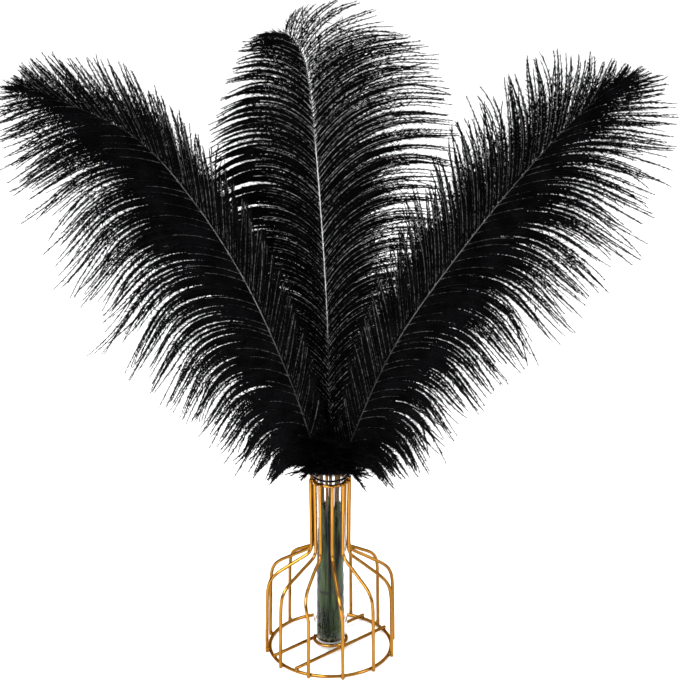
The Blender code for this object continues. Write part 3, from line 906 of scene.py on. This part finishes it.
def grow_barbs(shaft, habit, sign, rng):
    """Lines of all barbs on one side, as an array of barb, step and x y z."""
    count = habit["barbs"]
    places = (np.arange(count) + rng.uniform(SPACING_LOW, SPACING_HIGH, count)) / count
    share = shaft.foot + (1 - shaft.foot) * places
    along, right = shaft.axes(share)
    waves = sum(size * np.sin(places * often + rng.uniform(0, WAVE_START))
                for size, often in WAVES)
    long_or_short = rng.uniform(habit["shortest"], LONGEST, count)
    length = along_vane(habit["length"], places) * long_or_short
    root = np.radians(along_vane(habit["root"], places) + rng.normal(0, ROOT_SCATTER_DEG, count))
    tip = np.radians(along_vane(habit["tip"], places) + waves)
    stray = np.radians(rng.normal(0, habit["stray"], count))
    stray = stray * np.where(rng.random(count) < WILD_SHARE, WILD_TIMES, 1.0)
    curl = np.radians(rng.normal(0, habit["curl"], count))
    bend = np.clip(barb_mid * long_or_short[:, None] / habit["bent_by"], 0, 1)
    bend = 0.5 * bend + 0.5 * bend * bend * (3 - 2 * bend)
    angle = root[:, None] + (tip - root)[:, None] * bend
    angle = angle + stray[:, None] * barb_mid ** STRAY_POWER
    angle = angle + curl[:, None] * barb_mid ** CURL_POWER
    path = stepped_barbs(along, sign * right, angle, length)
    back = along_vane(habit["droop"], places) + rng.normal(0, DEPTH_SCATTER, count) * length / 100
    lift = rng.normal(0, LIFT_SCATTER, count)
    sag = back[:, None] * barb_share ** 2 + lift[:, None] * barb_share
    path = path - shaft.facing * sag[..., None] + shaft.point(share)[:, None, :]
    return path, length, places


print("barbs grow;", WILD_SHARE, "of them stray", WILD_TIMES, "times as far")

# %% Locks of barbs
# Each round of locks: fewest barbs, one more than the most, and strongest pull.
LOCKS = ((2, 5, 0.5), (7, 13, 0.5))
LOCK_FROM, LOCK_POWER = 0.35, 1.2


def draw_into_locks(path, rng):
    """Pull neighbouring barbs together towards their ends."""
    grip = np.clip((barb_share - LOCK_FROM) / (1 - LOCK_FROM), 0, 1) ** LOCK_POWER
    for fewest, most, strongest in LOCKS:
        start = 0
        while start < len(path):
            end = start + int(rng.integers(fewest, most))
            group = path[start:end]
            pull = (rng.uniform(0, strongest) * grip)[None, :, None]
            path[start:end] = group + (group.mean(axis=0) - group) * pull
            start = end
    return path


print("barbs cling in", len(LOCKS), "rounds of locks")

# %% Down at the mouth
DOWN_BARBS = 60
DOWN_BELOW, DOWN_ABOVE = 0.045, 0.05
DOWN_SHORTEST, DOWN_LONGEST = 18, 42
DOWN_ROOT_DEG, DOWN_TIP_DEG = (20, 50), (50, 72)
DOWN_ROOT_ASIDE, DOWN_TIP_ASIDE = 30, 42


def grow_down(shaft, rng):
    """Soft short barbs all round the shaft where it leaves the tube."""
    share = shaft.foot + rng.uniform(-DOWN_BELOW, DOWN_ABOVE, DOWN_BARBS)
    along, right = shaft.axes(share)
    turn = rng.uniform(0, math.tau, DOWN_BARBS)
    out = np.cos(turn)[:, None] * right + np.sin(turn)[:, None] * shaft.facing
    length = rng.uniform(DOWN_SHORTEST, DOWN_LONGEST, DOWN_BARBS)
    aside = np.abs(np.cos(turn))
    root = np.radians(rng.uniform(*DOWN_ROOT_DEG, DOWN_BARBS) + DOWN_ROOT_ASIDE * aside)
    tip = np.radians(rng.uniform(*DOWN_TIP_DEG, DOWN_BARBS) + DOWN_TIP_ASIDE * aside)
    angle = root[:, None] + (tip - root)[:, None] * barb_mid
    path = stepped_barbs(along, out, angle, length) + shaft.point(share)[:, None, :]
    return clear_of_lip(path), length


print(DOWN_BARBS, "barbs of down on each side of a shaft")

# %% [markdown]
# ## Threads, webs and barbules
# Close up, a barb is a smooth thread with barbules along both edges, so dense near the shaft that
# they read as one band. Here the thread is a three-sided tapered rod, the dense part is a folded
# web under it, and single barbules stand on both sides. Rods for them would need far too many
# triangles, and a blade of one triangle looks the same here.

# %% Threads
THREAD_RADIUS = [(0, 0.36), (0.5, 0.44), (0.85, 0.46), (1, 0.2)]
THREAD_RAISED = 0.25


def barb_axes(path, facing):
    """Directions aside from each barb, in the vane's plane and out of it."""
    along = unit(np.gradient(path, axis=1))
    aside = unit(np.cross(along, facing))
    return aside, np.cross(aside, along)


def barb_rows(path):
    """Numbers of the three points at each step of each barb, and at the next step."""
    index = np.arange(len(path) * BARB_STEPS * 3).reshape(len(path), BARB_STEPS, 3)
    return index[:, :-1], index[:, 1:]


def barb_threads(path, facing):
    """A three-sided tapered thread along each barb."""
    aside, front = barb_axes(path, facing)
    turns = math.pi / 2 + math.tau * np.arange(3) / 3
    ring = (np.cos(turns)[None, None, :, None] * aside[:, :, None, :]
            + np.sin(turns)[None, None, :, None] * front[:, :, None, :])
    radius = along_vane(THREAD_RADIUS, barb_share)[None, :, None, None]
    points = path[:, :, None, :] + front[:, :, None, :] * THREAD_RAISED + radius * ring
    a, b = barb_rows(path)
    following = [1, 2, 0]
    quads = np.stack([a, a[..., following], b[..., following], b], -1)
    return points.reshape(-1, 3), quads.reshape(-1, 4)


print("a thread is up to", 2 * max(radius for _, radius in THREAD_RADIUS), "mm thick")

# %% Webs
WEB_FOLD = 0.35
WEB_NARROWS_OVER = 0.16
WEB_START, WEB_END = [(0, 0.6), (0.05, 0.9)], [(0.9, 0.12), (1, 0.05)]


def barb_webs(path, facing, widest, until):
    """A narrow folded web under each thread, wide until that share of the barb."""
    aside, front = barb_axes(path, facing)
    narrow = until + WEB_NARROWS_OVER
    shape = WEB_START + [(until, 1.0), (narrow, 0.34)]
    shape += [point for point in WEB_END if point[0] > narrow]
    half = (widest[:, None] * along_vane(shape, barb_share))[..., None]
    points = np.stack([path + aside * half - front * WEB_FOLD * half, path,
                       path - aside * half - front * WEB_FOLD * half], 2)
    a, b = barb_rows(path)
    quads = [np.stack([a[..., k], a[..., k + 1], b[..., k + 1], b[..., k]], -1).reshape(-1, 4)
             for k in (0, 1)]
    return points.reshape(-1, 3), np.concatenate(quads)


print("a web narrows over", WEB_NARROWS_OVER, "of its barb")

# %% Barbules
LOOSE_SHARE, LOOSE_LEAN_DEG, LOOSE_LONGER = 0.3, 16, 1.45
BARBULE_LEAN_DEG = [(0, 34), (0.5, 30), (0.8, 15), (1, 8)]
BARBULE_SIZE = [(0, 4.0), (0.1, 5.5), (0.6, 5.0), (0.8, 2.9), (1, 1.4)]
BARBULE_WIDTH, LOOSE_WIDTH = 0.72, 0.58
LEAN_SCATTER_DEG, ROLL_SCATTER, WIDTH_SCATTER, TWIST_SCATTER = 10, 0.6, 0.35, 0.3
SIZE_LEAST, SIZE_MOST = 0.6, 1.3


def barbules(path, fluff, facing, number, rng):
    """Fine blades of one triangle on both sides of the barbs, most where fluff is greatest."""
    owner = rng.choice(len(path), number, p=fluff / fluff.sum())
    spot = rng.uniform(0.01, 1.0, number)
    side = np.where(rng.random(number) > 0.5, 1.0, -1.0)
    step = spot * (BARB_STEPS - 1.001)
    low = step.astype(int)
    a, b = path[owner, low], path[owner, low + 1]
    root = a + (b - a) * (step - low)[:, None]
    along = unit(b - a)
    aside = unit(np.cross(along, facing)) * side[:, None]
    front = np.cross(aside, along) * side[:, None]
    loose = rng.random(number) < LOOSE_SHARE
    lean = along_vane(BARBULE_LEAN_DEG, spot) + np.where(loose, LOOSE_LEAN_DEG, 0)
    lean = np.radians(lean + rng.normal(0, LEAN_SCATTER_DEG, number))[:, None]
    roll = rng.normal(0, ROLL_SCATTER, number)[:, None]
    across = aside * np.cos(roll) + front * np.sin(roll)
    size = along_vane(BARBULE_SIZE, spot) * rng.uniform(SIZE_LEAST, SIZE_MOST, number)
    size = size * np.where(loose, LOOSE_LONGER, 1.0)
    width = np.where(loose, LOOSE_WIDTH, BARBULE_WIDTH)
    width = width * np.exp(rng.normal(0, WIDTH_SCATTER, number))
    heading = along * np.cos(lean) + across * np.sin(lean)
    twist = TWIST_SCATTER * rng.standard_normal((number, 3))
    edge = unit(np.cross(heading, front) + twist) * (0.5 * width)[:, None]
    points = np.stack([root - edge, root + edge, root + heading * size[:, None]], 1)
    return points.reshape(-1, 3), np.arange(3 * number).reshape(-1, 3)


print("barbules are", BARBULE_SIZE[-1][1], "to", BARBULE_SIZE[1][1], "mm long before they vary")

# %% [markdown]
# ## The six vane halves
# On every plume the barbs are fullest at the vane's foot and finest at its tip, so a few tables
# serve all six halves. A half is one mesh, because an object for each barb would make the scene
# slow. The seed of a half fixes its scatter, so it comes out the same each time.

# %% Tables for all halves
WEB_ALONG = [(0, 1.7), (0.2, 1.2), (0.6, 1.05), (0.85, 0.62), (1, 0.38)]
FLUFF_ALONG = [(0, 2.7), (0.2, 1.0), (0.6, 0.97), (0.85, 0.66), (1, 0.46)]
DOWN_WEB, DOWN_FLUFF = 1.6, 2
print("the web is", WEB_ALONG[0][1], "times as wide at a vane's foot")

# %% Which threads carry painted highlight
# share of the threads that get painted highlight, along the vane
HIGHLIGHT_ALONG = [(0, 1), (0.7, 1), (0.85, 0.6), (1, 0.3)]
GOLDEN_STEP, EARLY_SHARE = 0.618, 0.45


def painted_highlight_bits(places, habit, early):
    """For every bit of every thread, whether it gets painted highlight; down never does."""
    share = habit["highlight_share"] * along_vane(HIGHLIGHT_ALONG, places)
    chosen = np.concatenate([np.arange(len(places)) * GOLDEN_STEP % 1 < share,
                             np.zeros(DOWN_BARBS, bool)])
    highlight_from, highlight_to = habit["highlight_span"]
    lit_from = np.where(early, 0.0, highlight_from)[:, None]
    return chosen[:, None] & (barb_mid >= lit_from) & (barb_mid < highlight_to)


print("steps of", GOLDEN_STEP, "spread the silver threads evenly over a vane")

# %% Grow the vane halves
triangles = 0
for name, side in ((name, side) for name in PLUMES for side in ("left", "right")):
    shaft, habit = shafts[name], PLUMES[name][side]
    rng = np.random.default_rng(habit["seed"])
    path, length, places = grow_barbs(shaft, habit, -1 if side == "left" else 1, rng)
    path = clear_of_lip(draw_into_locks(path, rng))
    down_path, down_length = grow_down(shaft, rng)
    early = rng.random(habit["barbs"] + DOWN_BARBS) < EARLY_SHARE
    path = np.concatenate([path, down_path])
    widest = np.append(habit["web"] * along_vane(WEB_ALONG, places), [DOWN_WEB] * DOWN_BARBS)
    fluff = np.append(length * along_vane(FLUFF_ALONG, places), DOWN_FLUFF * down_length)

    thread_points, threads = barb_threads(path, shaft.facing)
    web_points, webs = barb_webs(path, shaft.facing, widest, habit["web_until"])
    blade_points, blades = barbules(path, fluff, shaft.facing, habit["barbules"], rng)
    points = np.concatenate([thread_points, web_points, blade_points])
    quads = np.concatenate([threads, webs + len(thread_points)])
    faces = np.concatenate([quads[:, [0, 1, 2]], quads[:, [0, 2, 3]],
                            blades + len(thread_points) + len(web_points)])
    vane = place_piece(f"plume_{name}_{side}_vane", points, faces,
                       [barbule_black, thread_painted_highlight[name]], f"feather_{name}",
                       smooth=False)

    # the thread faces on the lit bits take the painted-highlight finish
    lit = np.repeat(painted_highlight_bits(places, habit, early).ravel(), 3)
    finish = np.zeros(len(faces), np.int32)
    for first in (0, len(quads)):
        finish[first:first + len(lit)] = lit
    vane.data.polygons.foreach_set("material_index", finish)
    triangles += len(faces)
    print(vane.name, len(path), "barbs,", len(blades), "barbules,", len(faces), "triangles")
print("plumes together:", triangles, "triangles")

# %% [markdown]
# ## Close the work
# The visual model has to stay inside the box of the imported model, apart from a little fluff.

# %% Finish
print("the scene is built")
